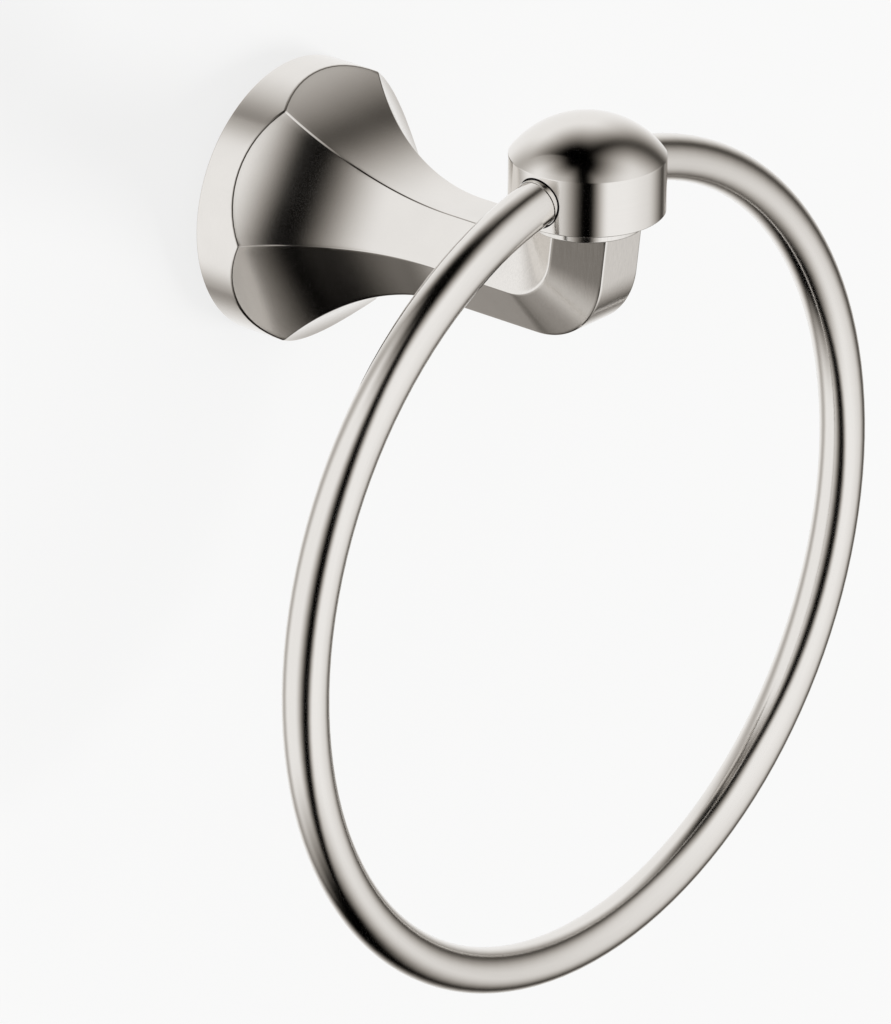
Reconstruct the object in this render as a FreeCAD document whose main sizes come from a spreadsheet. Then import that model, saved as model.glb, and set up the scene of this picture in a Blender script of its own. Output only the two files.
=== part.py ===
import FreeCAD, Part
import math
import os
import Sketcher

# A wall-mounted towel ring: a cast post flares out to a round base, bends up under a domed cap,
# and a round bar ring hangs through the cap.
# +Z is up and +X is right. The wall is the plane Y = 0 and the part stands out of it towards -Y.
# The origin is the middle of the base's back face.

Vector = FreeCAD.Vector
Placement = FreeCAD.Placement
Rotation = FreeCAD.Rotation

SIZES = [
    ("ring_radius", 77.0, "ring, middle of the bar to the ring's centre"),
    ("ring_bar", 8.56, "ring, bar diameter"),
    ("ring_rise", 6.6, "cap's underside to the top of the ring's centreline"),
    ("ring_end_gap", 0.5, "ring, room between each end and the stud"),
    ("reach", 70.4, "wall to the ring's plane, which also holds the cap's axis"),
    ("base_radius", 26.2, "base, rim radius"),
    ("neck_corner", 10.05, "neck, middle to corner of its hexagon"),
    ("flare_length", 42.0, "wall to the end of the flare"),
    ("flare_radius", 43.7, "flare, radius of the hollow in each of its six faces"),
    ("bend_side", 9.5, "elbow, bend radius of the two side edges"),
    ("bend_outer", 14.8, "elbow, bend radius of the two lower edges"),
    ("bend_inner", 4.2, "elbow, bend radius of the two upper edges"),
    ("stem_lean", 6.3, "stem above the elbow, forward lean in degrees"),
    ("core_end", 8.0, "flare, radius of the cast core at its far end"),
    ("core_depth", 27.0, "wall to the far end of the cast core"),
    ("collar_radius", 10.6, "collar, radius"),
    ("collar_height", 2.6, "collar, height"),
    ("collar_edge", 0.3, "collar, rounding of its lower rim"),
    ("cap_bottom", 16.0, "neck axis to the cap's underside"),
    ("cap_radius", 14.38, "cap, radius"),
    ("cap_side", 10.5, "cap, height of its straight side"),
    ("dome_height", 7.25, "cap, rise of the dome above its side"),
    ("cap_edge", 0.25, "cap, rounding of its rims"),
    ("passage_gap", 0.08, "cap, room round the ring's bar between the bushes"),
    ("bush_wall", 0.1, "bush, wall"),
    ("bush_gap", 0.05, "bush, fit round the ring's bar"),
    ("bush_room", 0.18, "bush, room round it in the cap"),
    ("bush_length", 4.6, "bush, length"),
    ("bush_proud", 0.05, "bush, how far it stands out of the cap"),
    ("stud_radius", 3.0, "stud, radius"),
    ("stud_depth", 9.0, "stud, length held in the post"),
    ("stud_rise", 14.4, "stud, length held in the cap"),
    ("stud_chamfer", 0.6, "stud, chamfer of its ends"),
    ("stud_tip_gap", 0.3, "stud, room beyond each of its ends"),
    ("thread_gap", 0.03, "stud and screw, radial room in their threaded holes"),
    ("bracket_radius", 20.2, "bracket, radius of its front rim"),
    ("bracket_undercut", 1.4, "bracket, how much narrower it is at the wall"),
    ("bracket_depth", 6.0, "bracket, depth from the wall"),
    ("bracket_rim", 3.2, "bracket, width of its front rim"),
    ("bracket_web", 2.4, "bracket, thickness of its web"),
    ("bracket_room", 0.5, "bracket, room round its rim in the base"),
    ("bracket_seat", 0.3, "bracket, room in front of its rim in the base"),
    ("wall_hole", 2.4, "bracket, radius of each wall screw hole"),
    ("wall_hole_spacing", 23.0, "bracket, distance between the wall screw holes"),
    ("bracket_window", 6.0, "bracket, radius of the window in its middle"),
    ("lock_radius", 2.0, "base screw, radius"),
    ("lock_distance", 3.4, "base screw, wall to its axis"),
    ("lock_recess", 0.7, "base screw, depth of its socket end inside the rim"),
    ("lock_point", 1.2, "base screw, length of its cone point"),
    ("lock_tip", 0.5, "base screw, radius of the flat on its point"),
    ("lock_chamfer", 0.3, "base screw, chamfer of its socket end"),
    ("lock_seat", 0.1, "base screw, room between its point and the bracket"),
    ("socket_corner", 1.15, "base screw, middle to corner of its hexagon socket"),
    ("socket_depth", 2.2, "base screw, depth of its socket"),
    ("margin", 1.0, "how far cutting shapes run past the metal"),
]

doc = FreeCAD.newDocument("towel_ring")
sheet = doc.addObject("Spreadsheet::Sheet", "sizes")
for row, (alias, value, note) in enumerate(SIZES, start=1):
    sheet.set(f"A{row}", note)
    sheet.set(f"B{row}", str(value))
    sheet.setAlias(f"B{row}", alias)
doc.recompute()

# Lengths and angles that several pieces share, as expressions of the sheet's sizes
APOTHEM = "(sizes.neck_corner * cos(30))"
COLLAR_BOTTOM = "(sizes.cap_bottom - sizes.collar_height)"
RING_CENTRE = "(sizes.cap_bottom + sizes.ring_rise - sizes.ring_radius)"
RING_BAR = "(sizes.ring_bar / 2)"
BUSH_BORE = "(sizes.ring_bar / 2 + sizes.bush_gap)"
BUSH_OUTSIDE = "(sizes.ring_bar / 2 + sizes.bush_gap + sizes.bush_wall)"
STUD_HOLE = "(sizes.stud_radius + sizes.thread_gap)"
STUD_BOTTOM = "(sizes.cap_bottom - sizes.stud_depth)"
RECESS_RADIUS = "(sizes.bracket_radius + sizes.bracket_room)"
RECESS_DEPTH = "(sizes.bracket_depth + sizes.bracket_seat)"
RIM_INSIDE = "(sizes.bracket_radius - sizes.bracket_rim)"
BRACKET_BACK = "(sizes.bracket_radius - sizes.bracket_undercut)"
# Radius of the bracket's undercut rim beside the front edge of the base screw's point
RIM_AT_SCREW = (
    "(sizes.bracket_radius - sizes.bracket_undercut"
    " * (1 - (sizes.lock_distance + sizes.lock_tip) / sizes.bracket_depth))"
)
# Half of the angle left open at the top of the ring, and the angles that each bush covers
RING_OPENING = "asin((sizes.stud_radius + sizes.ring_end_gap) / sizes.ring_radius)"
BUSH_END = "asin((sizes.cap_radius + sizes.bush_proud) / sizes.ring_radius)"
BUSH_SPAN = "(sizes.bush_length / sizes.ring_radius * 1 rad)"


def size(alias):
    """A driving dimension as a number."""
    return float(sheet.get(alias))


def evaluate(expression):
    """An expression of the sheet's sizes as a number, with angles in degrees."""
    value = sheet.evalExpression(expression.replace("sizes.", ""))
    return float(getattr(value, "Value", value))


def bind(thing, **expressions):
    """Ties properties to expressions; x, y and z stand for the place, and angle for the rotation."""
    names = {"x": "Placement.Base.x", "y": "Placement.Base.y", "z": "Placement.Base.z"}
    names["angle"] = "Placement.Rotation.Angle"
    for name, expression in expressions.items():
        thing.setExpression(names.get(name, name), expression)


def new_body(label):
    body = doc.addObject("PartDesign::Body", label)
    body.Label = label
    return body


def origin_feature(body, role):
    return next(f for f in body.Origin.OriginFeatures if f.Role == role)


def new_sketch(body, name, plane):
    sketch = body.newObject("Sketcher::SketchObject", name)
    sketch.AttachmentSupport = [(origin_feature(body, plane), "")]
    sketch.MapMode = "FlatFace"
    return sketch


def constrain(sketch, kind, geometry, expression):
    """A dimension of the sketch tied to an expression."""
    index = sketch.addConstraint(Sketcher.Constraint(kind, *geometry, evaluate(expression)))
    sketch.setExpression(f"Constraints[{index}]", expression)


def place_point(sketch, geometry, end, point):
    """Ties a point of the sketch to a pair of expressions measured from the origin."""
    for kind, expression in zip(("DistanceX", "DistanceY"), point):
        constrain(sketch, kind, (-1, 1, geometry, end), expression)


def join_ends(sketch, pairs):
    """Joins pieces of the outline; each pair gives two pieces, the end of one and the start of the next."""
    for first, second in pairs:
        sketch.addConstraint(Sketcher.Constraint("Coincident", *first, *second))


def outline(sketch, points):
    """A closed outline of straight lines through points that are pairs of expressions."""
    corners = [Vector(*[evaluate(e) for e in point]) for point in points]
    count = len(points)
    for i in range(count):
        sketch.addGeometry(Part.LineSegment(corners[i], corners[(i + 1) % count]), False)
    join_ends(sketch, [((i, 2), ((i + 1) % count, 1)) for i in range(count)])
    for i, point in enumerate(points):
        place_point(sketch, i, 1, point)


def add_circle(sketch, centre, radius):
    """A circle whose centre is a pair of expressions and whose radius is another."""
    middle = Vector(*[evaluate(e) for e in centre])
    index = sketch.addGeometry(Part.Circle(middle, Vector(0, 0, 1), evaluate(radius)), False)
    place_point(sketch, index, 3, centre)
    constrain(sketch, "Radius", (index,), radius)


def turned(body, sketch, name, axis, kind="PartDesign::Revolution"):
    """A full turn of the sketch about an axis of the body; a groove cuts instead of adding."""
    feature = body.newObject(kind, name)
    feature.Profile = sketch
    feature.ReferenceAxis = (origin_feature(body, axis), [""])
    feature.Angle = 360
    return feature


def round_circles(body, base, name, radius, circles):
    """Rounds the level circular edges of a feature, each given by its radius and height."""
    doc.recompute()
    wanted = [(evaluate(r), evaluate(z)) for r, z in circles]
    edges = []
    for number, edge in enumerate(base.Shape.Edges, start=1):
        if edge.Degenerated or not isinstance(edge.Curve, Part.Circle):
            continue
        curve = edge.Curve
        if any(math.dist((curve.Radius, curve.Center.z), w) < 0.001 for w in wanted):
            edges.append(f"Edge{number}")
    fillet = body.newObject("PartDesign::Fillet", name)
    fillet.Base = (base, edges)
    bind(fillet, Radius=radius)
    return fillet


def drilled(name, radius, height, y="0", z="0"):
    """An upright cylinder that stands for a drilled hole."""
    tool = doc.addObject("Part::Cylinder", name)
    bind(tool, Radius=radius, Height=height, y=y, z=z)
    return tool


def cut(name, whole, tools):
    """A shape with several others cut away, which becomes the sub-part of that name."""
    together = doc.addObject("Part::MultiFuse", f"{name}_cuts")
    together.Shapes = tools
    result = doc.addObject("Part::Cut", name)
    result.Label = name
    result.Base = whole
    result.Tool = together if len(tools) > 1 else tools[0]
    result.Refine = True
    return result


def flared_base():
    """The round base and its six hollow faces that narrow to the hexagonal neck, with a hollow back."""
    body = new_body("flared_base")
    disc = new_sketch(body, "base_outline", "XZ_Plane")
    add_circle(disc, ("0", "0"), "sizes.base_radius")
    blank = body.newObject("PartDesign::Pad", "base_blank")
    blank.Profile = disc
    bind(blank, Length="sizes.flare_length")

    # The side view of what is cut off one face: below, an arc that ends level with the neck
    scoop = new_sketch(body, "flare_profile", "YZ_Plane")
    top = "(sizes.base_radius + sizes.margin)"
    centre = f"({APOTHEM} + sizes.flare_radius)"
    radius, neck = size("flare_radius"), -size("flare_length")
    opening = math.acos((evaluate(centre) - evaluate(top)) / radius)
    circle = Part.Circle(Vector(neck, evaluate(centre)), Vector(0, 0, 1), radius)
    arc = Part.ArcOfCircle(circle, 1.5 * math.pi, 1.5 * math.pi + opening)
    corner = Vector(neck, evaluate(top))
    level = Part.LineSegment(arc.EndPoint, corner)
    upright = Part.LineSegment(corner, arc.StartPoint)
    scoop.addGeometry([arc, level, upright], False)
    join_ends(scoop, [((0, 2), (1, 1)), ((1, 2), (2, 1)), ((2, 2), (0, 1))])
    scoop.addConstraint(Sketcher.Constraint("Horizontal", 1))
    scoop.addConstraint(Sketcher.Constraint("Vertical", 2))
    place_point(scoop, 0, 3, ("-sizes.flare_length", centre))
    place_point(scoop, 0, 1, ("-sizes.flare_length", APOTHEM))
    constrain(scoop, "DistanceY", (-1, 1, 1, 2), top)

    face = body.newObject("PartDesign::Pocket", "flare_face")
    face.Profile = scoop
    face.Type = "ThroughAll"
    face.Midplane = True
    faces = body.newObject("PartDesign::PolarPattern", "flare_faces")
    faces.Originals = [face]
    faces.Axis = (origin_feature(body, "Y_Axis"), [""])
    faces.Angle = 360
    faces.Occurrences = 6
    body.Tip = faces

    hollow = new_sketch(body, "hollow_profile", "YZ_Plane")
    outline(hollow, [
        ("0", "0"),
        ("0", RECESS_RADIUS),
        (f"-{RECESS_DEPTH}", RECESS_RADIUS),
        (f"-{RECESS_DEPTH}", RIM_INSIDE),
        ("-sizes.core_depth", "sizes.core_end"),
        ("-sizes.core_depth", "0"),
    ])
    turned(body, hollow, "hollow", "Y_Axis", "PartDesign::Groove")
    return body


def bend_edge(corner):
    """One long edge of the bent hexagonal bar: a level line, an arc and a leaning line."""
    around = math.radians(60 * corner)
    across = size("neck_corner") * math.cos(around)
    height = size("neck_corner") * math.sin(around) if corner % 3 else 0.0
    radius = size("bend_side")
    if height:
        radius = size("bend_inner") if height > 0 else size("bend_outer")
    lean = math.radians(size("stem_lean"))
    collar = evaluate(COLLAR_BOTTOM)
    end = size("reach") - height / math.cos(lean)
    # Where the two straight stretches would meet, and how far from there the arc begins and ends
    meet = end - (collar - height) * math.tan(lean)
    half = (math.pi / 2 - lean) / 2
    tangent = radius * math.tan(half)
    begin = meet - tangent
    steps = [
        (size("flare_length"), height),
        (begin, height),
        (begin + radius * math.sin(half), height + radius * (1 - math.cos(half))),
        (meet + tangent * math.sin(lean), height + tangent * math.cos(lean)),
        (end, collar),
    ]
    start, first, bow, last, top = [Vector(across, -forward, up) for forward, up in steps]
    return [
        Part.LineSegment(start, first).toShape(),
        Part.Arc(first, bow, last).toShape(),
        Part.LineSegment(last, top).toShape(),
    ]


def elbow():
    """Neck, elbow and leaning stem: a hexagonal bar with ruled faces between edges of different bends."""
    edges = [bend_edge(corner) for corner in range(6)]
    faces = []
    for here, after in zip(edges, edges[1:] + edges[:1]):
        faces += [Part.makeRuledSurface(one, other) for one, other in zip(here, after)]
    for piece, end in ((0, 0), (2, 1)):
        corners = [edge[piece].Vertexes[end].Point for edge in edges]
        faces.append(Part.Face(Part.makePolygon(corners + corners[:1])))
    shell = Part.Shell(faces)
    shell.sewShape()
    solid = Part.Solid(shell)
    if solid.Volume < 0:
        solid.reverse()
    bar = doc.addObject("Part::Feature", "elbow")
    bar.Shape = solid
    return bar


def collar():
    """The round collar on the stem, with a rounded lower rim."""
    body = new_body("collar")
    bind(body, y="-sizes.reach", z=COLLAR_BOTTOM)
    disc = new_sketch(body, "collar_outline", "XY_Plane")
    add_circle(disc, ("0", "0"), "sizes.collar_radius")
    plate = body.newObject("PartDesign::Pad", "collar_plate")
    plate.Profile = disc
    bind(plate, Length="sizes.collar_height")
    round_circles(body, plate, "collar_rim", "sizes.collar_edge", [("sizes.collar_radius", "0")])
    return body


def post():
    """The post, cast in one piece: base, flare, neck, elbow, stem and collar."""
    casting = doc.addObject("Part::MultiFuse", "casting")
    casting.Shapes = [flared_base(), elbow(), collar()]
    casting.Refine = True
    stud_hole = drilled(
        "stud_hole", STUD_HOLE, "sizes.stud_depth + sizes.stud_tip_gap + sizes.margin",
        y="-sizes.reach", z=f"{STUD_BOTTOM} - sizes.stud_tip_gap",
    )
    screw_hole = drilled(
        "screw_hole", "sizes.lock_radius + sizes.thread_gap",
        f"sizes.base_radius - {RIM_INSIDE} + sizes.margin",
        y="-sizes.lock_distance", z="-sizes.base_radius - sizes.margin",
    )
    return cut("post", casting, [stud_hole, screw_hole])


def cap_blank():
    """The turned cap before it is drilled: a straight side under a shallow dome."""
    body = new_body("cap_blank")
    bind(body, y="-sizes.reach", z="sizes.cap_bottom")
    section = new_sketch(body, "cap_section", "XZ_Plane")
    radius, side, rise = size("cap_radius"), size("cap_side"), size("dome_height")
    sphere = (radius ** 2 + rise ** 2) / (2 * rise)
    middle = side + rise - sphere
    shoulder, top = Vector(radius, side), Vector(0, side + rise)
    circle = Part.Circle(Vector(0, middle), Vector(0, 0, 1), sphere)
    dome = Part.ArcOfCircle(circle, math.atan2(side - middle, radius), math.pi / 2)
    section.addGeometry([
        Part.LineSegment(Vector(0, 0), Vector(radius, 0)),
        Part.LineSegment(Vector(radius, 0), shoulder),
        dome,
        Part.LineSegment(top, Vector(0, 0)),
    ], False)
    join_ends(section, [((0, 2), (1, 1)), ((1, 2), (2, 1)), ((2, 2), (3, 1)), ((3, 2), (0, 1))])
    place_point(section, 0, 1, ("0", "0"))
    place_point(section, 1, 1, ("sizes.cap_radius", "0"))
    place_point(section, 1, 2, ("sizes.cap_radius", "sizes.cap_side"))
    place_point(section, 2, 2, ("0", "sizes.cap_side + sizes.dome_height"))
    section.addConstraint(Sketcher.Constraint("PointOnObject", 2, 3, -2))
    solid = turned(body, section, "cap_turning", "Z_Axis")
    rims = [("sizes.cap_radius", "0"), ("sizes.cap_radius", "sizes.cap_side")]
    round_circles(body, solid, "cap_rims", "sizes.cap_edge", rims)
    return body


def along_ring(label, outside, span, middle, inside=None):
    """A stretch of round bar or tube that follows the ring; the angles run from the ring's top."""
    body = new_body(label)
    body.Placement = Placement(Vector(), Rotation(Vector(0, 1, 0), 1))
    bind(body, y="-sizes.reach", z=RING_CENTRE, angle=middle)
    section = new_sketch(body, f"{label}_section", "YZ_Plane")
    add_circle(section, ("0", "sizes.ring_radius"), outside)
    if inside:
        add_circle(section, ("0", "sizes.ring_radius"), inside)
    sweep = body.newObject("PartDesign::Revolution", f"{label}_sweep")
    sweep.Profile = section
    sweep.ReferenceAxis = (origin_feature(body, "Y_Axis"), [""])
    sweep.Midplane = True
    bind(sweep, Angle=span)
    return body


def cap():
    """The domed cap with the ring's curved passage, a pocket for each bush and the stud's hole."""
    reach = f"({BUSH_END} + sizes.margin / sizes.ring_radius * 1 rad)"
    passage = along_ring("passage", f"{RING_BAR} + sizes.passage_gap", f"2 * {reach}", "0")
    pockets = [
        along_ring(
            f"bush_pocket_{side}", f"{BUSH_OUTSIDE} + sizes.bush_room",
            f"{BUSH_SPAN} + 2 * sizes.margin / sizes.ring_radius * 1 rad",
            f"{sign} * ({BUSH_END} - {BUSH_SPAN} / 2 + sizes.margin / sizes.ring_radius * 1 rad)",
        )
        for side, sign in (("left", "-1"), ("right", "1"))
    ]
    stud_hole = drilled(
        "cap_stud_hole", STUD_HOLE, "sizes.stud_rise + sizes.stud_tip_gap + sizes.margin",
        y="-sizes.reach", z="sizes.cap_bottom - sizes.margin",
    )
    return cut("cap", cap_blank(), [passage, *pockets, stud_hole])


def ring():
    """The ring, one round bar bent to a circle, with its two ends either side of the stud."""
    return along_ring("ring", RING_BAR, f"360 deg - 2 * {RING_OPENING}", "180")


def bush(side, sign):
    """The slim sleeve that lines one mouth of the cap's passage."""
    middle = f"{sign} * ({BUSH_END} - {BUSH_SPAN} / 2)"
    return along_ring(f"ring_bush_{side}", BUSH_OUTSIDE, BUSH_SPAN, middle, inside=BUSH_BORE)


def cap_stud():
    """The stud that ties the cap to the post and keeps the ring's two ends in the cap."""
    body = new_body("cap_stud")
    bind(body, y="-sizes.reach", z=STUD_BOTTOM)
    section = new_sketch(body, "stud_section", "XZ_Plane")
    length = "(sizes.stud_depth + sizes.stud_rise)"
    neck = "sizes.stud_radius - sizes.stud_chamfer"
    outline(section, [
        ("0", "0"),
        (neck, "0"),
        ("sizes.stud_radius", "sizes.stud_chamfer"),
        ("sizes.stud_radius", f"{length} - sizes.stud_chamfer"),
        (neck, length),
        ("0", length),
    ])
    turned(body, section, "stud_turning", "Z_Axis")
    return body


def wall_bracket():
    """The round bracket on the wall: a web with a window and two holes, and a rim that narrows to the wall."""
    body = new_body("wall_bracket")
    section = new_sketch(body, "bracket_section", "YZ_Plane")
    outline(section, [
        ("0", "sizes.bracket_window"),
        ("0", BRACKET_BACK),
        ("-sizes.bracket_depth", "sizes.bracket_radius"),
        ("-sizes.bracket_depth", RIM_INSIDE),
        ("-sizes.bracket_web", RIM_INSIDE),
        ("-sizes.bracket_web", "sizes.bracket_window"),
    ])
    turned(body, section, "bracket_turning", "Y_Axis")
    holes = new_sketch(body, "wall_hole_outlines", "XZ_Plane")
    for sign in ("-", ""):
        add_circle(holes, (f"{sign}sizes.wall_hole_spacing / 2", "0"), "sizes.wall_hole")
    drilling = body.newObject("PartDesign::Pocket", "wall_holes")
    drilling.Profile = holes
    drilling.Type = "ThroughAll"
    drilling.Midplane = True
    return body


def base_screw():
    """The headless screw under the base; its cone point bears on the bracket's undercut rim."""
    body = new_body("base_screw")
    start = "(sizes.base_radius - sizes.lock_recess)"
    bind(body, y="-sizes.lock_distance", z=f"-{start}")
    length = f"({start} - {RIM_AT_SCREW} - sizes.lock_seat)"
    section = new_sketch(body, "screw_section", "XZ_Plane")
    outline(section, [
        ("0", "0"),
        ("sizes.lock_radius - sizes.lock_chamfer", "0"),
        ("sizes.lock_radius", "sizes.lock_chamfer"),
        ("sizes.lock_radius", f"{length} - sizes.lock_point"),
        ("sizes.lock_tip", length),
        ("0", length),
    ])
    turned(body, section, "screw_turning", "Z_Axis")
    hexagon = new_sketch(body, "socket_outline", "XY_Plane")
    corners = [(f"cos({60 * i})", f"sin({60 * i})") for i in range(6)]
    outline(hexagon, [(f"sizes.socket_corner * {c}", f"sizes.socket_corner * {s}") for c, s in corners])
    socket = body.newObject("PartDesign::Pocket", "socket")
    socket.Profile = hexagon
    socket.Reversed = True
    bind(socket, Length="sizes.socket_depth")
    return body


def write(subparts):
    """Checks every object and every sub-part, then writes one STEP file for each sub-part."""
    doc.recompute()
    for thing in doc.Objects:
        if {"Invalid", "Error"} & set(thing.State):
            raise RuntimeError(f"{thing.Name} failed: {thing.State}")
    for thing in subparts:
        if thing.Shape.isNull() or not thing.Shape.isValid():
            raise RuntimeError(f"{thing.Label} has no valid shape")
    os.makedirs("parts", exist_ok=True)
    for thing in subparts:
        thing.Shape.exportStep(f"parts/{thing.Label}.step")
        print(thing.Label, len(thing.Shape.Solids), round(thing.Shape.Volume, 1))


write([
    post(),
    cap(),
    ring(),
    bush("left", "-1"),
    bush("right", "1"),
    cap_stud(),
    wall_bracket(),
    base_screw(),
])
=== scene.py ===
from math import asin, cos, pi, radians, sin, sqrt, tan

import bmesh
import bpy
from mathutils import Matrix, Vector


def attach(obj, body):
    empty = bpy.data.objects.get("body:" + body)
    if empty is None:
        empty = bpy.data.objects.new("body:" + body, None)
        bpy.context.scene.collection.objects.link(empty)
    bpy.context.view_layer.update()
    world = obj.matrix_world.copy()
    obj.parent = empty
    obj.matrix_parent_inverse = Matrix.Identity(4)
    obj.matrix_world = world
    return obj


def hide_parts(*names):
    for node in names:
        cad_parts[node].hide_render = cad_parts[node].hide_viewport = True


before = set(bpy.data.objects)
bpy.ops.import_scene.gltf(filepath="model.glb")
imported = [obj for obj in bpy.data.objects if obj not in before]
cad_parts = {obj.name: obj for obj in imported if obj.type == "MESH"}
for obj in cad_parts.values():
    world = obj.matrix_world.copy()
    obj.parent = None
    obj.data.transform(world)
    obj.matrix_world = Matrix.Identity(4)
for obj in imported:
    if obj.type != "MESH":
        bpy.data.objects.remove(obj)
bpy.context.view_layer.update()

# Sizes are in millimetres and angles in degrees, as in the part's own drawing. Distances are
# measured from the wall, so a distance of 10 lies at y = -10.
MM = 0.001

BASE_RADIUS = 26.2
NECK_CORNER = 10.05
FLARE_LENGTH = 42.0
FLARE_RADIUS = 43.7
BEND_SIDE = 9.5
BEND_OUTER = 14.8
BEND_INNER = 4.2
STEM_LEAN = 6.3
REACH = 70.4
RECESS_RADIUS = 20.7
RECESS_DEPTH = 6.3
CORE_MOUTH = 17.0
CORE_END = 8.0
CORE_DEPTH = 27.0
COLLAR_RADIUS = 10.6
COLLAR_HEIGHT = 2.6
COLLAR_EDGE = 0.3
CAP_BOTTOM = 16.0
SCREW_HOLE = 2.03
SCREW_DISTANCE = 3.4
STUD_HOLE = 3.03
ARC_ROUNDING = 0.36
CREASE_ROUNDING = 0.26

NECK_APOTHEM = NECK_CORNER * cos(radians(30))
COLLAR_BOTTOM = CAP_BOTTOM - COLLAR_HEIGHT
STEM_OVERLAP = 0.4
CUTTER_OVERLAP = 2.0

# How finely the post is divided
COLUMNS = 16
FLARE_ROWS = 56
RIM_ROWS = 6
NECK_ROWS = 10
BEND_ROWS = 26
STEM_ROWS = 6
EDGE_STEPS = 5
TURNED_SIDES = 160
HOLE_SIDES = 48

# Points nearer than this are one, in metres
SAME_POINT_CAST = 2e-6
SAME_POINT_TURNED = 1e-6

# An edge sharper than this is rounded; a point on the rim's arcs is this near to its radius
SHARP = 25.0
ON_RIM = 0.01
OFF_WALL = 1.0
FACE_WEIGHT = 70


def flare_apothem(distance):
    """How far the middle of a flare face lies from the axis, at a distance from the wall."""
    back = FLARE_LENGTH - distance
    return NECK_APOTHEM + FLARE_RADIUS - sqrt(FLARE_RADIUS ** 2 - back ** 2)


def flare_distance(apothem):
    """The distance from the wall at which a flare face lies that far from the axis."""
    rise = NECK_APOTHEM + FLARE_RADIUS - apothem
    return FLARE_LENGTH - sqrt(FLARE_RADIUS ** 2 - rise ** 2)


def at(across, distance, height):
    """A point of the part, in metres."""
    return Vector((across, -distance, height)) * MM


def bend_edge(corner):
    """Points along one long edge of the neck, the elbow and the stem."""
    around = radians(60 * corner)
    across = NECK_CORNER * cos(around)
    height = NECK_CORNER * sin(around) if corner % 3 else 0.0
    radius = BEND_SIDE
    if height:
        radius = BEND_INNER if height > 0 else BEND_OUTER
    lean = radians(STEM_LEAN)
    top = COLLAR_BOTTOM + STEM_OVERLAP
    end = REACH - height / cos(lean) + STEM_OVERLAP * tan(lean)
    meet = end - (top - height) * tan(lean)
    turn = pi / 2 - lean
    begin = meet - radius * tan(turn / 2)
    finish = (begin + radius * sin(turn), height + radius * (1 - cos(turn)))
    points = []
    for i in range(1, NECK_ROWS):
        points.append((FLARE_LENGTH + (begin - FLARE_LENGTH) * i / NECK_ROWS, height))
    for i in range(BEND_ROWS + 1):
        angle = turn * i / BEND_ROWS
        points.append((begin + radius * sin(angle), height + radius * (1 - cos(angle))))
    for i in range(1, STEM_ROWS + 1):
        part = i / STEM_ROWS
        points.append((
            finish[0] + (end - finish[0]) * part,
            finish[1] + (top - finish[1]) * part,
        ))
    return [at(across, distance, up) for distance, up in points]


def add_grid(mesh, rows):
    """Faces between rows of points."""
    verts = [[mesh.verts.new(point) for point in row] for row in rows]
    for low, high in zip(verts, verts[1:]):
        for i in range(len(low) - 1):
            mesh.faces.new((low[i], low[i + 1], high[i + 1], high[i]))


def flare_rows(side, widths, starts):
    """Rows of one hollow face of the flare, run on along the neck and round the elbow."""
    middle = radians(30 + 60 * side)
    rows = []
    for j in range(FLARE_ROWS + 1):
        part = j / FLARE_ROWS
        row = []
        for width, start in zip(widths, starts):
            distance = start + (FLARE_LENGTH - start) * part
            apothem = flare_apothem(distance)
            across = width * min(apothem * tan(radians(30)), BASE_RADIUS / 2)
            row.append(at(
                cos(middle) * apothem - sin(middle) * across, distance,
                sin(middle) * apothem + cos(middle) * across,
            ))
        rows.append(row)
    for here, after in zip(bend_edge(side), bend_edge((side + 1) % 6)):
        rows.append([here.lerp(after, (width + 1) / 2) for width in widths])
    return rows


def rim_rows(turns, starts):
    """Rows of the round rim, from the wall to where the flare face cuts it."""
    rows = []
    for j in range(RIM_ROWS + 1):
        part = j / RIM_ROWS
        row = []
        for turn, start in zip(turns, starts):
            row.append(at(BASE_RADIUS * cos(turn), start * part, BASE_RADIUS * sin(turn)))
        rows.append(row)
    return rows


def hollow_rows(turns):
    """Rows of the back's flat rim, its recess and its cored hollow."""
    profile = [
        (BASE_RADIUS, 0.0), (RECESS_RADIUS, 0.0), (RECESS_RADIUS, RECESS_DEPTH),
        (CORE_MOUTH, RECESS_DEPTH), (CORE_END, CORE_DEPTH), (0.0, CORE_DEPTH),
    ]
    rows = []
    for radius, distance in profile:
        rows.append([at(radius * cos(turn), distance, radius * sin(turn)) for turn in turns])
    return rows


def add_sixth(mesh, side):
    """One sixth of the post: a long face, the rim below it and the hollow behind it."""
    middle = radians(30 + 60 * side)
    widths = [2 * i / COLUMNS - 1 for i in range(COLUMNS + 1)]
    turns = [middle + asin(width / 2) for width in widths]
    half = BASE_RADIUS / 2
    starts = [flare_distance(sqrt(BASE_RADIUS ** 2 - (width * half) ** 2)) for width in widths]
    add_grid(mesh, flare_rows(side, widths, starts))
    add_grid(mesh, rim_rows(turns, starts))
    add_grid(mesh, hollow_rows(turns))


def new_object(name, mesh):
    """An object of the finished mesh, smoothly shaded, in the scene."""
    data = bpy.data.meshes.new(name)
    mesh.to_mesh(data)
    mesh.free()
    data.shade_smooth()
    thing = bpy.data.objects.new(name, data)
    bpy.context.scene.collection.objects.link(thing)
    return thing


def rod(name, radius, start, end):
    """A plain closed rod between two points, used to cut holes."""
    mesh = bmesh.new()
    axis = end - start
    bmesh.ops.create_cone(
        mesh, cap_ends=True, segments=HOLE_SIDES,
        radius1=radius, radius2=radius, depth=axis.length,
    )
    turn = Vector((0, 0, 1)).rotation_difference(axis).to_matrix().to_4x4()
    place = Matrix.Translation((start + end) / 2) @ turn
    bmesh.ops.transform(mesh, matrix=place, verts=mesh.verts)
    return new_object(name, mesh)


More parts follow.
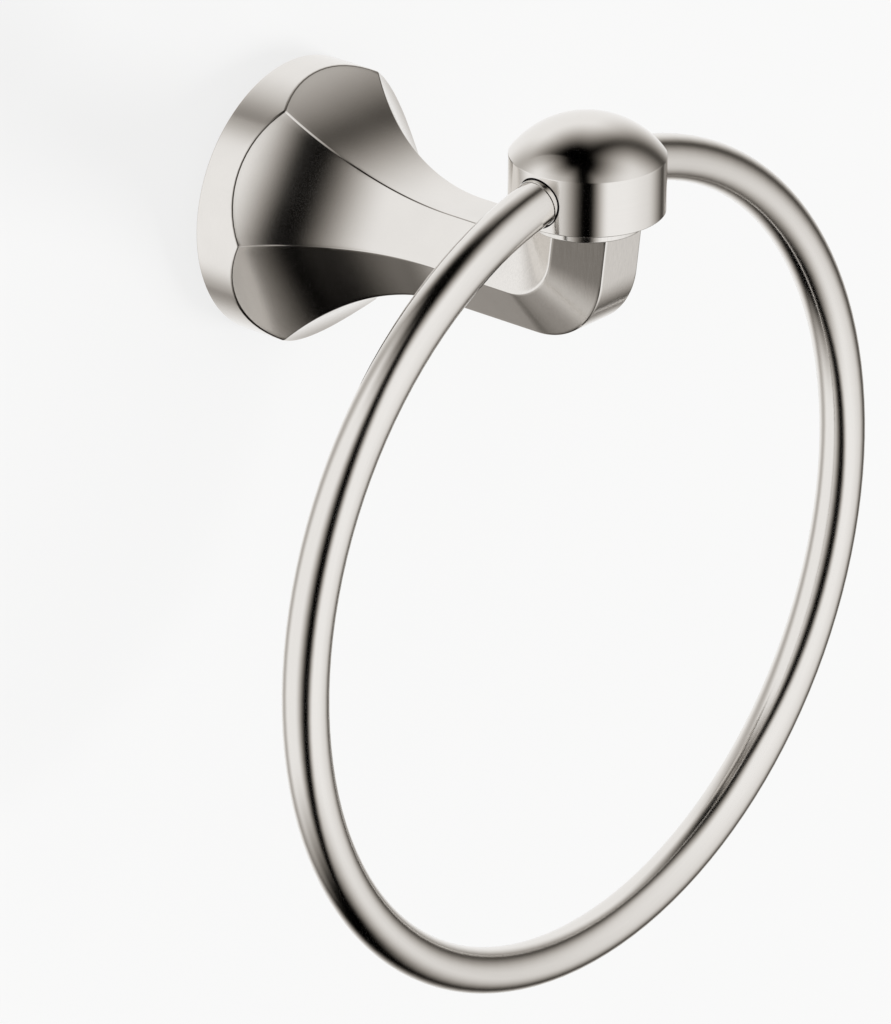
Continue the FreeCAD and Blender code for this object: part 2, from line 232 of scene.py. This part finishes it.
def settle(thing):
    """Gives an object the mesh that its modifiers make, and takes the modifiers away."""
    graph = bpy.context.evaluated_depsgraph_get()
    result = bpy.data.meshes.new_from_object(thing.evaluated_get(graph))
    thing.modifiers.clear()
    thing.data = result


def lathe(profile, centre):
    """A mesh turned about an upright axis; the profile holds radius and height pairs."""
    mesh = bmesh.new()
    turns = [2 * pi * i / TURNED_SIDES for i in range(TURNED_SIDES + 1)]
    rows = []
    for radius, height in profile:
        circle = [Vector((radius * cos(turn), radius * sin(turn), height)) for turn in turns]
        rows.append([centre + point * MM for point in circle])
    add_grid(mesh, rows)
    bmesh.ops.remove_doubles(mesh, verts=mesh.verts, dist=SAME_POINT_TURNED)
    bmesh.ops.recalc_face_normals(mesh, faces=mesh.faces)
    return mesh


def collar_profile():
    """Radius and height pairs down the stud's hole, under the collar and up its rounded side."""
    shoulder = COLLAR_RADIUS - COLLAR_EDGE
    upper = COLLAR_HEIGHT - COLLAR_EDGE
    turns = [pi / 2 * i / EDGE_STEPS for i in range(1, EDGE_STEPS + 1)]
    profile = [(STUD_HOLE, COLLAR_HEIGHT), (STUD_HOLE, 0.0), (shoulder, 0.0)]
    for turn in turns:
        profile.append((shoulder + COLLAR_EDGE * sin(turn), COLLAR_EDGE * (1 - cos(turn))))
    profile.append((COLLAR_RADIUS, upper))
    for turn in turns:
        profile.append((shoulder + COLLAR_EDGE * cos(turn), upper + COLLAR_EDGE * sin(turn)))
    profile.append((STUD_HOLE, COLLAR_HEIGHT))
    return profile


def on_rim_arc(vert):
    """Whether a point lies on the arcs where the faces cut the round rim."""
    x, y, z = vert.co / MM
    return -y > OFF_WALL and abs(sqrt(x * x + z * z) - BASE_RADIUS) < ON_RIM


def weigh_edges(mesh):
    """Marks the arcs round the rim for the full rounding, and other edges for the finer one."""
    weight = mesh.edges.layers.float.new("bevel_weight_edge")
    for edge in mesh.edges:
        if edge.calc_face_angle(0.0) > radians(SHARP):
            on_arc = all(on_rim_arc(vert) for vert in edge.verts)
            edge[weight] = 1.0 if on_arc else CREASE_ROUNDING / ARC_ROUNDING


def round_edges(post):
    """Fine roundings, as wide as each edge's mark says."""
    rounding = post.modifiers.new("rounded edges", "BEVEL")
    rounding.width = ARC_ROUNDING * MM
    rounding.segments = EDGE_STEPS
    rounding.limit_method = "WEIGHT"
    rounding.use_clamp_overlap = False
    rounding.offset_type = "OFFSET"


def cut_screw_hole(post):
    """Cuts the hole under the rim for the base's locking screw."""
    below = at(0, SCREW_DISTANCE, -BASE_RADIUS - CUTTER_OVERLAP)
    inside = at(0, SCREW_DISTANCE, -RECESS_RADIUS + CUTTER_OVERLAP)
    hole = rod("hole_cutter", SCREW_HOLE * MM, below, inside)
    cut = post.modifiers.new("screw hole", "BOOLEAN")
    cut.operation = "DIFFERENCE"
    cut.solver = "EXACT"
    cut.object = hole
    settle(post)
    bpy.data.objects.remove(hole)


def add_collar(post):
    """Joins the turned collar to the casting and evens out the shading across both."""
    collar = lathe(collar_profile(), at(0, REACH, COLLAR_BOTTOM))
    collar.from_mesh(post.data)
    collar.to_mesh(post.data)
    collar.free()
    post.data.shade_smooth()
    evened = post.modifiers.new("even normals", "WEIGHTED_NORMAL")
    evened.weight = FACE_WEIGHT
    settle(post)


def make_post():
    """The cast post with finely rounded edges, in place of the plainer solid."""
    mesh = bmesh.new()
    for side in range(6):
        add_sixth(mesh, side)
    bmesh.ops.remove_doubles(mesh, verts=mesh.verts, dist=SAME_POINT_CAST)
    open_edges = [edge for edge in mesh.edges if edge.is_boundary]
    bmesh.ops.edgeloop_fill(mesh, edges=open_edges)
    bmesh.ops.recalc_face_normals(mesh, faces=mesh.faces)
    weigh_edges(mesh)
    casting = new_object("post_casting", mesh)
    round_edges(casting)
    cut_screw_hole(casting)
    add_collar(casting)
    return casting


post = make_post()
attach(post, "root")
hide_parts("post")


class Shading:
    """A short way to build the nodes of a material or of the studio's surroundings."""

    def __init__(self, owner):
        owner.use_nodes = True
        self.tree = owner.node_tree
        self.nodes = self.tree.nodes

    def link(self, value, socket):
        if isinstance(value, bpy.types.NodeSocket):
            self.tree.links.new(value, socket)
        else:
            socket.default_value = value

    def math(self, operation, first, second=0.0):
        node = self.nodes.new("ShaderNodeMath")
        node.operation = operation
        self.link(first, node.inputs[0])
        self.link(second, node.inputs[1])
        return node.outputs[0]

    def plus(self, first, second):
        return self.math("ADD", first, second)

    def minus(self, first, second):
        return self.math("SUBTRACT", first, second)

    def times(self, first, second):
        return self.math("MULTIPLY", first, second)

    def length(self, first, second):
        """The long side of a right-angled corner with these two sides."""
        squares = self.plus(self.times(first, first), self.times(second, second))
        return self.math("SQRT", squares)

    def ease(self, value, start, end, low=0.0, high=1.0):
        """Goes smoothly from low, where the value is at start, to high, where it is at end."""
        node = self.nodes.new("ShaderNodeMapRange")
        node.interpolation_type = "SMOOTHSTEP"
        self.link(value, node.inputs["Value"])
        node.inputs["From Min"].default_value = start
        node.inputs["From Max"].default_value = end
        node.inputs["To Min"].default_value = low
        node.inputs["To Max"].default_value = high
        return node.outputs[0]

    def object_place(self):
        """Where the surface is in its object, in metres."""
        return self.nodes.new("ShaderNodeTexCoord").outputs["Object"]

    def position(self):
        """Where the surface is, in millimetres, in the part's own frame."""
        scaled = self.nodes.new("ShaderNodeVectorMath")
        scaled.operation = "SCALE"
        self.link(self.object_place(), scaled.inputs[0])
        scaled.inputs["Scale"].default_value = 1 / MM
        return scaled.outputs[0]

    def split(self, vector):
        node = self.nodes.new("ShaderNodeSeparateXYZ")
        self.link(vector, node.inputs[0])
        return node.outputs["X"], node.outputs["Y"], node.outputs["Z"]

    def join(self, x, y, z):
        node = self.nodes.new("ShaderNodeCombineXYZ")
        for value, socket in zip((x, y, z), node.inputs):
            self.link(value, socket)
        return node.outputs[0]

    def noise(self, vector, scale, detail=3.0):
        node = self.nodes.new("ShaderNodeTexNoise")
        self.link(vector, node.inputs["Vector"])
        node.inputs["Scale"].default_value = scale
        node.inputs["Detail"].default_value = detail
        return node.outputs["Fac"]

    def bump(self, height, depth):
        """A relief whose height runs from 0 to 1 over a depth in millimetres."""
        node = self.nodes.new("ShaderNodeBump")
        self.link(height, node.inputs["Height"])
        node.inputs["Distance"].default_value = depth * MM
        node.inputs["Strength"].default_value = 1.0
        return node.outputs[0]

    def mix(self, amount, dark, light):
        """A colour between two others, each a plain colour or the outcome of other nodes."""
        node = self.nodes.new("ShaderNodeMix")
        node.data_type = "RGBA"
        self.link(amount, node.inputs["Factor"])
        self.link(dark, node.inputs["A"])
        self.link(light, node.inputs["B"])
        return node.outputs["Result"]


# Metals. A span is the part of the marks' range over which a colour or a gloss changes. Marks,
# clouds, spangles and pits are counted per millimetre.

NICKEL = (0.818, 0.795, 0.766)
SATIN = (0.13, 0.17)
SMOOTHER = (0.09, 0.12)
TINT_SPAN = (0.36, 0.64)
GLOSS_SPAN = (0.3, 0.7)
MARK_SHARE = 0.7
CLOUD_SHARE = 0.3
NICKEL_CLOUDS = 0.09
MARKS_ACROSS = 5.0
MARKS_UPRIGHT = 0.12
CAP_MARKS_PER_RADIAN = 0.8
RING_MARKS_PER_RADIAN = 8.0
STEM_BACK = -64.0
NECK_FRONT = -52.0
NECK_FAINTNESS = 0.2

RING_RADIUS = 77.0
RING_CENTRE_HEIGHT = -54.4
MOUTH_RADIUS = 4.61
# The fine line round each mouth of the cap's passage is painted shade, in this dark colour
MOUTH_SHADE_LINE = (MOUTH_RADIUS + 0.02, MOUTH_RADIUS + 0.12)
MOUTH_PAINTED_SHADE = (0.03, 0.03, 0.028, 1)

STEEL = (0.5, 0.5, 0.5)
BLACK_STEEL = (0.1, 0.1, 0.1)
STEEL_CLOUDS = 0.4
STEEL_LIGHTEST = 1.25
STEEL_GLOSS_CHANGE = 0.1
THREAD_DEPTH = 0.6

ZINC = (0.55, 0.56, 0.58)
ZINC_GLOSS = (0.32, 0.46)
ZINC_SPANGLES = 0.8
ZINC_LIGHTEST = 1.15
ZINC_PITS = 4.0
ZINC_PIT_DEPTH = 0.01


def opaque(colour, factor=1.0):
    """A full colour, made lighter or darker by a factor."""
    return (*(value * factor for value in colour), 1)


def new_metal(name):
    """A material of plain metal, with its nodes and its shader."""
    material = bpy.data.materials.new(name)
    shade = Shading(material)
    shader = shade.nodes["Principled BSDF"]
    shader.inputs["Metallic"].default_value = 1.0
    return material, shade, shader


def nickel(name, brushing, roughness, contrast, depth, strength=None):
    """Satin nickel with faint brush marks.

    brushing gives the marks' own coordinates, and strength how plain they are from place to
    place.
    """
    material, shade, shader = new_metal(name)
    place = shade.position()
    marks = shade.noise(brushing(shade, place), 1.0, detail=4.0)
    if strength:
        above = shade.times(shade.minus(marks, 0.5), strength(shade, place))
        marks = shade.plus(above, 0.5)
    clouds = shade.noise(place, NICKEL_CLOUDS, detail=2.0)
    uneven = shade.plus(shade.times(marks, MARK_SHARE), shade.times(clouds, CLOUD_SHARE))
    tint = shade.ease(uneven, *TINT_SPAN)
    skin = shade.mix(tint, opaque(NICKEL, 1 - contrast), opaque(NICKEL, 1 + contrast))
    shade.link(skin, shader.inputs["Base Color"])
    shade.link(shade.ease(uneven, *GLOSS_SPAN, *roughness), shader.inputs["Roughness"])
    shade.link(shade.bump(marks, depth), shader.inputs["Normal"])
    return material


def brushed_upright(shade, place):
    """Marks that run up and down, fine across."""
    x, y, z = shade.split(place)
    return shade.join(
        shade.times(x, MARKS_ACROSS), shade.times(y, MARKS_ACROSS),
        shade.times(z, MARKS_UPRIGHT),
    )


def strongest_on_stem(shade, place):
    """The post's marks are plain on the stem and much fainter on the neck and the horn."""
    x, y, z = shade.split(place)
    return shade.ease(y, STEM_BACK, NECK_FRONT, 1.0, NECK_FAINTNESS)


def brushed_round_cap(shade, place):
    """Marks that run round the cap, as turning leaves them."""
    x, y, z = shade.split(place)
    y = shade.plus(y, REACH)
    turn = shade.math("ARCTAN2", y, x)
    return shade.join(
        shade.times(shade.length(x, y), MARKS_ACROSS), shade.times(z, MARKS_ACROSS),
        shade.times(turn, CAP_MARKS_PER_RADIAN),
    )


def brushed_along_ring(shade, place):
    """Marks that run along the ring's bar."""
    x, y, z = shade.split(place)
    z = shade.minus(z, RING_CENTRE_HEIGHT)
    turn = shade.math("ARCTAN2", z, x)
    return shade.join(
        shade.times(shade.length(x, z), MARKS_ACROSS), shade.times(y, MARKS_ACROSS),
        shade.times(turn, RING_MARKS_PER_RADIAN),
    )


def paint_mouth_shade(material):
    """Paints a fine dark line of shade round each mouth of the cap's passage, where the ring's
    sleeve enters the cap.
    """
    shade = Shading(material)
    colour = shade.nodes["Principled BSDF"].inputs["Base Color"]
    plain = colour.links[0].from_socket
    x, y, z = shade.split(shade.position())
    outward = shade.minus(shade.length(x, shade.minus(z, RING_CENTRE_HEIGHT)), RING_RADIUS)
    away = shade.length(outward, shade.plus(y, REACH))
    # Painted shade: dark within a fine band just outside each sleeve's mouth
    mouth = shade.ease(away, *MOUTH_SHADE_LINE, 1.0, 0.0)
    shade.link(shade.mix(mouth, plain, MOUTH_PAINTED_SHADE), colour)
    return material


def threaded_metal(name, colour, roughness, axis, pitch):
    """A plain steel with a fine screw thread round its upright axis, which lies at that y."""
    material, shade, shader = new_metal(name)
    place = shade.position()
    clouds = shade.noise(place, STEEL_CLOUDS)
    skin = shade.mix(clouds, opaque(colour), opaque(colour, STEEL_LIGHTEST))
    shade.link(skin, shader.inputs["Base Color"])
    gloss = shade.ease(clouds, *GLOSS_SPAN, roughness, roughness + STEEL_GLOSS_CHANGE)
    shade.link(gloss, shader.inputs["Roughness"])
    x, y, z = shade.split(place)
    turn = shade.math("ARCTAN2", shade.minus(y, axis), x)
    steps = shade.plus(shade.times(z, 1 / pitch), shade.times(turn, 1 / (2 * pi)))
    thread = shade.math("PINGPONG", steps, 0.5)
    shade.link(shade.bump(thread, THREAD_DEPTH * pitch), shader.inputs["Normal"])
    return material


def zinc_plate(name, colour):
    """Zinc-plated steel with a dull, slightly mottled skin."""
    material, shade, shader = new_metal(name)
    place = shade.position()
    spangle = shade.noise(place, ZINC_SPANGLES, detail=5.0)
    skin = shade.mix(spangle, opaque(colour), opaque(colour, ZINC_LIGHTEST))
    shade.link(skin, shader.inputs["Base Color"])
    shade.link(shade.ease(spangle, *GLOSS_SPAN, *ZINC_GLOSS), shader.inputs["Roughness"])
    pits = shade.noise(place, ZINC_PITS)
    shade.link(shade.bump(pits, ZINC_PIT_DEPTH), shader.inputs["Normal"])
    return material


def wear(piece, material):
    """Gives every face of a piece the material."""
    thing = bpy.data.objects[piece]
    if not thing.material_slots:
        thing.data.materials.append(material)
    for slot in thing.material_slots:
        slot.material = material


def finish_pieces():
    """Gives each piece its metal."""
    wear("post_casting", nickel(
        "nickel_post", brushed_upright, SATIN, contrast=0.035, depth=0.0006,
        strength=strongest_on_stem,
    ))
    # The cap's nickel carries a painted shade line round each mouth of its passage
    wear("cap", paint_mouth_shade(nickel(
        "nickel_cap", brushed_round_cap, SMOOTHER, contrast=0.006, depth=0.0004,
    )))
    bar = nickel("nickel_ring", brushed_along_ring, SATIN, contrast=0.01, depth=0.0001)
    for piece in ("ring", "ring_bush_left", "ring_bush_right"):
        wear(piece, bar)
    wear("cap_stud", threaded_metal(
        "stud_steel", STEEL, roughness=0.25, axis=-REACH, pitch=1.0,
    ))
    wear("base_screw", threaded_metal(
        "screw_steel", BLACK_STEEL, roughness=0.3, axis=-SCREW_DISTANCE, pitch=0.7,
    ))
    wear("wall_bracket", zinc_plate("bracket_steel", ZINC))


# Studio: a round tent of light with two dark upright gaps and dark poles, a pale wall and a
# pale floor. Turns are measured from straight ahead of the wall, positive to the right, and
# heights from level.

BACKGROUND = (0.947, 0.947, 0.945, 1)
OWN_BRIGHTNESS = 0.808
PALE_DARK = (0.115, 0.115, 0.115, 1)
PALE_LIGHT = (0.12, 0.12, 0.12, 1)
PALE_CLOUDS = 0.02
WALL_HALF_WIDTH = 450.0
WALL_GAP = 0.05
FLOOR_HEIGHT = -260.0
KEY_SIDE = (2250.0, -1450.0, -1150.0)
KEY_SPREAD = 19.0
KEY_STRENGTH = 3.9

TENT_RADII = (2585.0, 970.0, 699.0)
TENT_CENTRE = (-150.0, -87.0, -125.0)
TENT_FINENESS = 5
WHITE = (1.0, 1.0, 1.0, 1)
WARM_DIM = (1.13, 1.0, 0.85, 1)

# Each light side has the turn of its middle, and the angles below and above level at which its
# light is gone and full. The third number is how far that edge leans with each degree of turn.
LEFT_SIDE = {"middle": -110.0, "bottom": (80.7, 36.3, -0.077), "top": (85.0, 49.0, -0.06)}
FRONT_SIDE = {"middle": 20.0, "bottom": (81.6, 26.6, -0.01), "top": (80.3, 42.9, -0.033)}
RIGHT_SIDE = {"middle": 140.0, "bottom": (67.8, 25.0, 0.047), "top": (75.5, 38.6, 0.063)}
LEFT_BRIGHTNESS = 0.96
RIGHT_BRIGHTNESS = 0.947

# Turns between which each side's light goes from nothing to full; a gap lies between two sides
LEFT_EDGE = (-52.5, -104.0)
FRONT_LEFT_EDGE = (-41.0, -10.0)
FRONT_RIGHT_EDGE = (92.0, 48.0)
RIGHT_EDGE = (80.8, 121.0)
LEFT_GAP_LEAN = -0.05
RIGHT_GAP_LEAN = -0.20
FRONT_DIMMING = (10.0, 95.0, 1.0, 0.637)
BACK_DIMMING = (150.0, 180.0, 1.0, 0.51)


def leaning(shade, angle, other, lean, middle=0.0):
    """An angle that shifts with another one, so that an edge drawn along it leans."""
    return shade.plus(angle, shade.times(shade.minus(other, middle), lean))


def side_light(shade, turn, below, above, middle, bottom, top):
    """The light of one side of the tent by height, fading towards both poles."""
    low = leaning(shade, below, turn, bottom[2], middle)
    high = leaning(shade, above, turn, top[2], middle)
    return shade.times(shade.ease(low, *bottom[:2]), shade.ease(high, *top[:2]))


def tent_light(shade):
    """How bright the tent is in each direction from its middle."""
    outward = shade.nodes.new("ShaderNodeVectorMath")
    outward.operation = "NORMALIZE"
    shade.link(shade.object_place(), outward.inputs[0])
    x, y, z = shade.split(outward.outputs[0])
    turn = shade.times(shade.math("ARCTAN2", x, shade.times(y, -1.0)), 180 / pi)
    height = shade.times(shade.math("ARCSINE", z), 180 / pi)
    above = shade.math("MAXIMUM", height, 0.0)
    below = shade.math("MAXIMUM", shade.times(height, -1.0), 0.0)
    left_gap = leaning(shade, turn, above, LEFT_GAP_LEAN)
    right_gap = leaning(shade, turn, below, RIGHT_GAP_LEAN)

    left = side_light(shade, turn, below, above, **LEFT_SIDE)
    left = shade.times(left, shade.ease(left_gap, *LEFT_EDGE))
    front = side_light(shade, turn, below, above, **FRONT_SIDE)
    front = shade.times(front, shade.ease(left_gap, *FRONT_LEFT_EDGE))
    front = shade.times(front, shade.ease(right_gap, *FRONT_RIGHT_EDGE))
    front = shade.times(front, shade.ease(turn, *FRONT_DIMMING))
    right = side_light(shade, turn, below, above, **RIGHT_SIDE)
    right = shade.times(right, shade.ease(right_gap, *RIGHT_EDGE))

    light = shade.plus(shade.times(left, LEFT_BRIGHTNESS), front)
    light = shade.plus(light, shade.times(right, RIGHT_BRIGHTNESS))
    return shade.times(light, shade.ease(shade.math("ABSOLUTE", turn), *BACK_DIMMING))


def tent():
    """The closed tent, which only the metal's reflections show."""
    material = bpy.data.materials.new("tent_light")
    shade = Shading(material)
    glow = shade.nodes.new("ShaderNodeEmission")
    light = tent_light(shade)
    shade.link(shade.mix(shade.math("SQRT", light), WARM_DIM, WHITE), glow.inputs["Color"])
    shade.link(light, glow.inputs["Strength"])
    shade.link(glow.outputs[0], shade.nodes["Material Output"].inputs["Surface"])
    material.cycles.emission_sampling = "NONE"
    mesh = bmesh.new()
    bmesh.ops.create_icosphere(mesh, subdivisions=TENT_FINENESS, radius=MM)
    bmesh.ops.scale(mesh, vec=TENT_RADII, verts=mesh.verts)
    thing = new_object("tent", mesh)
    thing.location = Vector(TENT_CENTRE) * MM
    thing.data.materials.append(material)
    thing.visible_camera = False
    thing.visible_diffuse = False
    thing.visible_shadow = False


def pale_surface():
    """Matt white with most of its brightness its own, so that it keeps only a soft shadow."""
    material = bpy.data.materials.new("pale_matt")
    shade = Shading(material)
    shader = shade.nodes["Principled BSDF"]
    clouds = shade.noise(shade.position(), PALE_CLOUDS, detail=2.0)
    shade.link(shade.mix(clouds, PALE_DARK, PALE_LIGHT), shader.inputs["Base Color"])
    shader.inputs["Roughness"].default_value = 1.0
    shader.inputs["Specular IOR Level"].default_value = 0.0
    shader.inputs["Emission Color"].default_value = BACKGROUND
    shader.inputs["Emission Strength"].default_value = OWN_BRIGHTNESS
    through = shade.nodes.new("ShaderNodeBsdfTransparent")
    from_behind = shade.nodes.new("ShaderNodeNewGeometry").outputs["Backfacing"]
    choose = shade.nodes.new("ShaderNodeMixShader")
    shade.link(from_behind, choose.inputs[0])
    shade.link(shader.outputs[0], choose.inputs[1])
    shade.link(through.outputs[0], choose.inputs[2])
    shade.link(choose.outputs[0], shade.nodes["Material Output"].inputs["Surface"])
    return material


def backdrop(name, corners, material):
    """A flat piece of the studio; the tent stands in for it in the metal's reflections."""
    data = bpy.data.meshes.new(name)
    data.from_pydata([Vector(corner) * MM for corner in corners], [], [(0, 1, 2, 3)])
    data.materials.append(material)
    thing = bpy.data.objects.new(name, data)
    bpy.context.scene.collection.objects.link(thing)
    thing.visible_glossy = False
    thing.visible_diffuse = False
    thing.visible_shadow = False


def key_lamp():
    """Soft even light from the lower right, for the base's shadow on the wall."""
    data = bpy.data.lights.new("key", "SUN")
    data.angle = radians(KEY_SPREAD)
    data.energy = KEY_STRENGTH
    lamp = bpy.data.objects.new("key", data)
    lamp.location = Vector(KEY_SIDE) * MM
    lamp.rotation_mode = "QUATERNION"
    lamp.rotation_quaternion = (-lamp.location).to_track_quat("-Z", "Y")
    lamp.visible_glossy = False
    bpy.context.scene.collection.objects.link(lamp)


def studio():
    """The pale room, the tent and the lamp."""
    world = bpy.data.worlds.new("studio")
    bpy.context.scene.world = world
    Shading(world).nodes["Background"].inputs["Color"].default_value = BACKGROUND
    pale = pale_surface()
    wide, near, low = WALL_HALF_WIDTH, WALL_GAP, FLOOR_HEIGHT
    front = -2 * wide
    backdrop(
        "wall", [(-wide, near, low), (wide, near, low), (wide, near, wide), (-wide, near, wide)],
        pale,
    )
    backdrop(
        "floor", [(-wide, front, low), (wide, front, low), (wide, near, low), (-wide, near, low)],
        pale,
    )
    tent()
    key_lamp()


# Camera, in millimetres, from the measured view of the photograph

VIEW_AZIMUTH = -50.309
VIEW_ELEVATION = 23.599
VIEW_ROLL = 0.756
FOCAL_PIXELS = 12064.7
PHOTO_WIDTH = 891
PHOTO_HEIGHT = 1024
RING_PIXEL = (579.693, 565.4)
RING_CENTRE = Vector((0, -70.23, -54.4))
RING_DEPTH = 2199.7
SENSOR = 36.0
NEAREST_SEEN = 0.05
FARTHEST_SEEN = 50.0


def add_camera():
    """The camera that sees the part as the photograph shows it."""
    azimuth, elevation, roll = (radians(v) for v in (VIEW_AZIMUTH, VIEW_ELEVATION, VIEW_ROLL))
    back = Vector((sin(azimuth) * cos(elevation), -cos(azimuth) * cos(elevation), sin(elevation)))
    level = Vector((cos(azimuth), sin(azimuth), 0))
    upright = back.cross(level)
    right = level * cos(roll) + upright * sin(roll)
    up = upright * cos(roll) - level * sin(roll)
    across = (RING_PIXEL[0] - PHOTO_WIDTH / 2) / FOCAL_PIXELS * RING_DEPTH
    down = (RING_PIXEL[1] - PHOTO_HEIGHT / 2) / FOCAL_PIXELS * RING_DEPTH
    place = RING_CENTRE - right * across + up * down + back * RING_DEPTH
    data = bpy.data.cameras.new("photo_view")
    data.sensor_width = SENSOR
    data.lens = FOCAL_PIXELS * SENSOR / PHOTO_HEIGHT
    data.clip_start = NEAREST_SEEN
    data.clip_end = FARTHEST_SEEN
    camera = bpy.data.objects.new("photo_view", data)
    axes = Matrix((right, up, back)).transposed().to_4x4()
    camera.matrix_world = Matrix.Translation(place * MM) @ axes
    bpy.context.scene.collection.objects.link(camera)
    bpy.context.scene.camera = camera


finish_pieces()
studio()
add_camera()
bpy.context.scene.view_settings.view_transform = "Standard"
